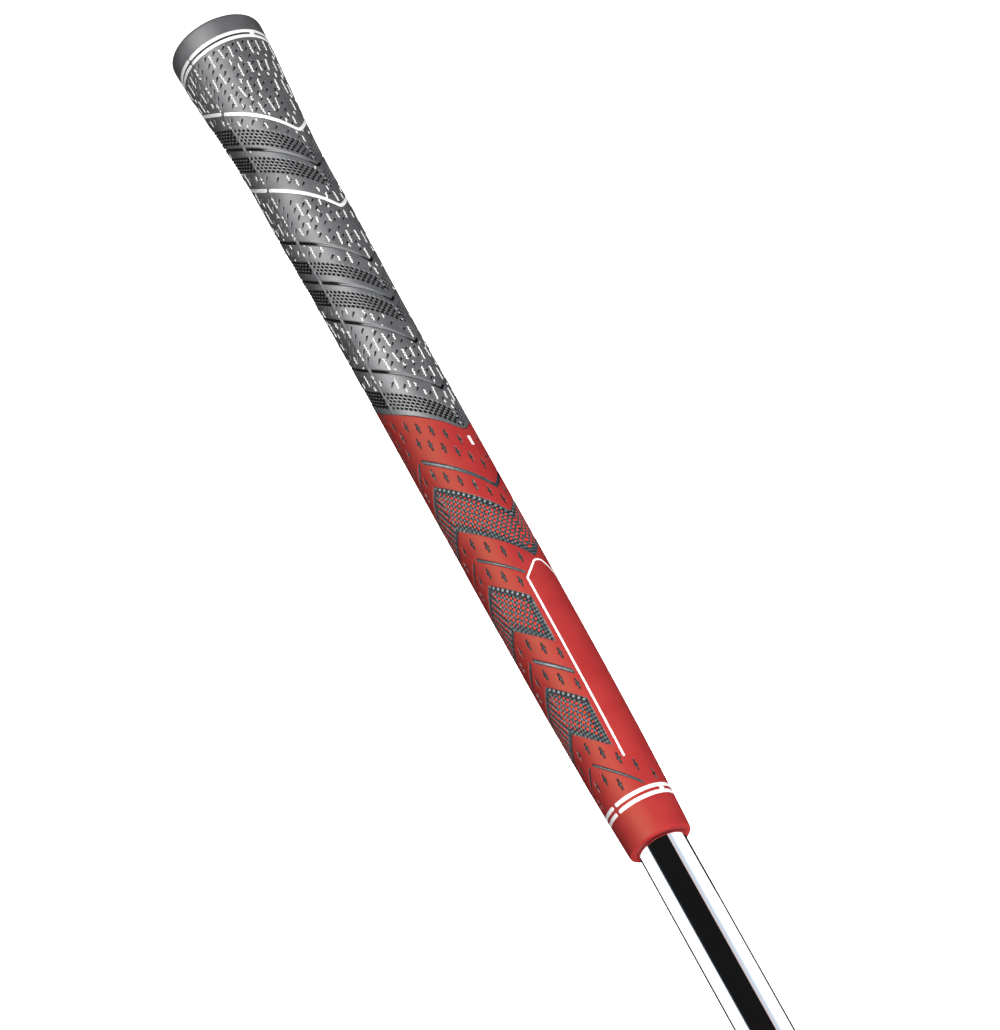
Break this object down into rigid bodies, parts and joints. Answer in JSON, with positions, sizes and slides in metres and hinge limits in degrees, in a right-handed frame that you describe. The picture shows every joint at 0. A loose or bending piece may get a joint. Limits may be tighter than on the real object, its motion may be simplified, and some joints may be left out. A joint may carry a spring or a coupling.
{
  "type": "golf grip",
  "caption": "Two-compound golf grip with a corded upper half and a smooth patterned lower half, fitted with tape over the butt of a stepped tubular shaft stub.",
  "frame": {"origin": "centre of the grip's butt face, on the shaft axis", "axes": "+Z along the shaft axis from the butt to the mouth; the name panel faces -Y; the mould parting lines lie along +X and -X"},
  "size_m": [0.0276, 0.0276, 0.36],
  "materials": {
    "cap_rubber": "satin moulded rubber",
    "core_rubber": "matt dark rubber",
    "corded_rubber": "matt buffed rubber with cotton cord showing",
    "cotton_cord": "woven cotton",
    "red_rubber": "satin moulded rubber",
    "paint_white": "flexible white paint fill",
    "tape": "creped paper tape",
    "shaft_chrome": "bright plated steel"
  },
  "bodies": {
    "root": {"butt_cap": "cap_rubber", "core_sleeve": "core_rubber", "upper_panel_front": "corded_rubber", "upper_panel_back": "corded_rubber", "cord_ply_front": "cotton_cord", "cord_ply_back": "cotton_cord", "lower_panel_front": "red_rubber", "lower_panel_back": "red_rubber", "grip_tape": "tape", "shaft": "shaft_chrome"}
  },
  "joints": []
}
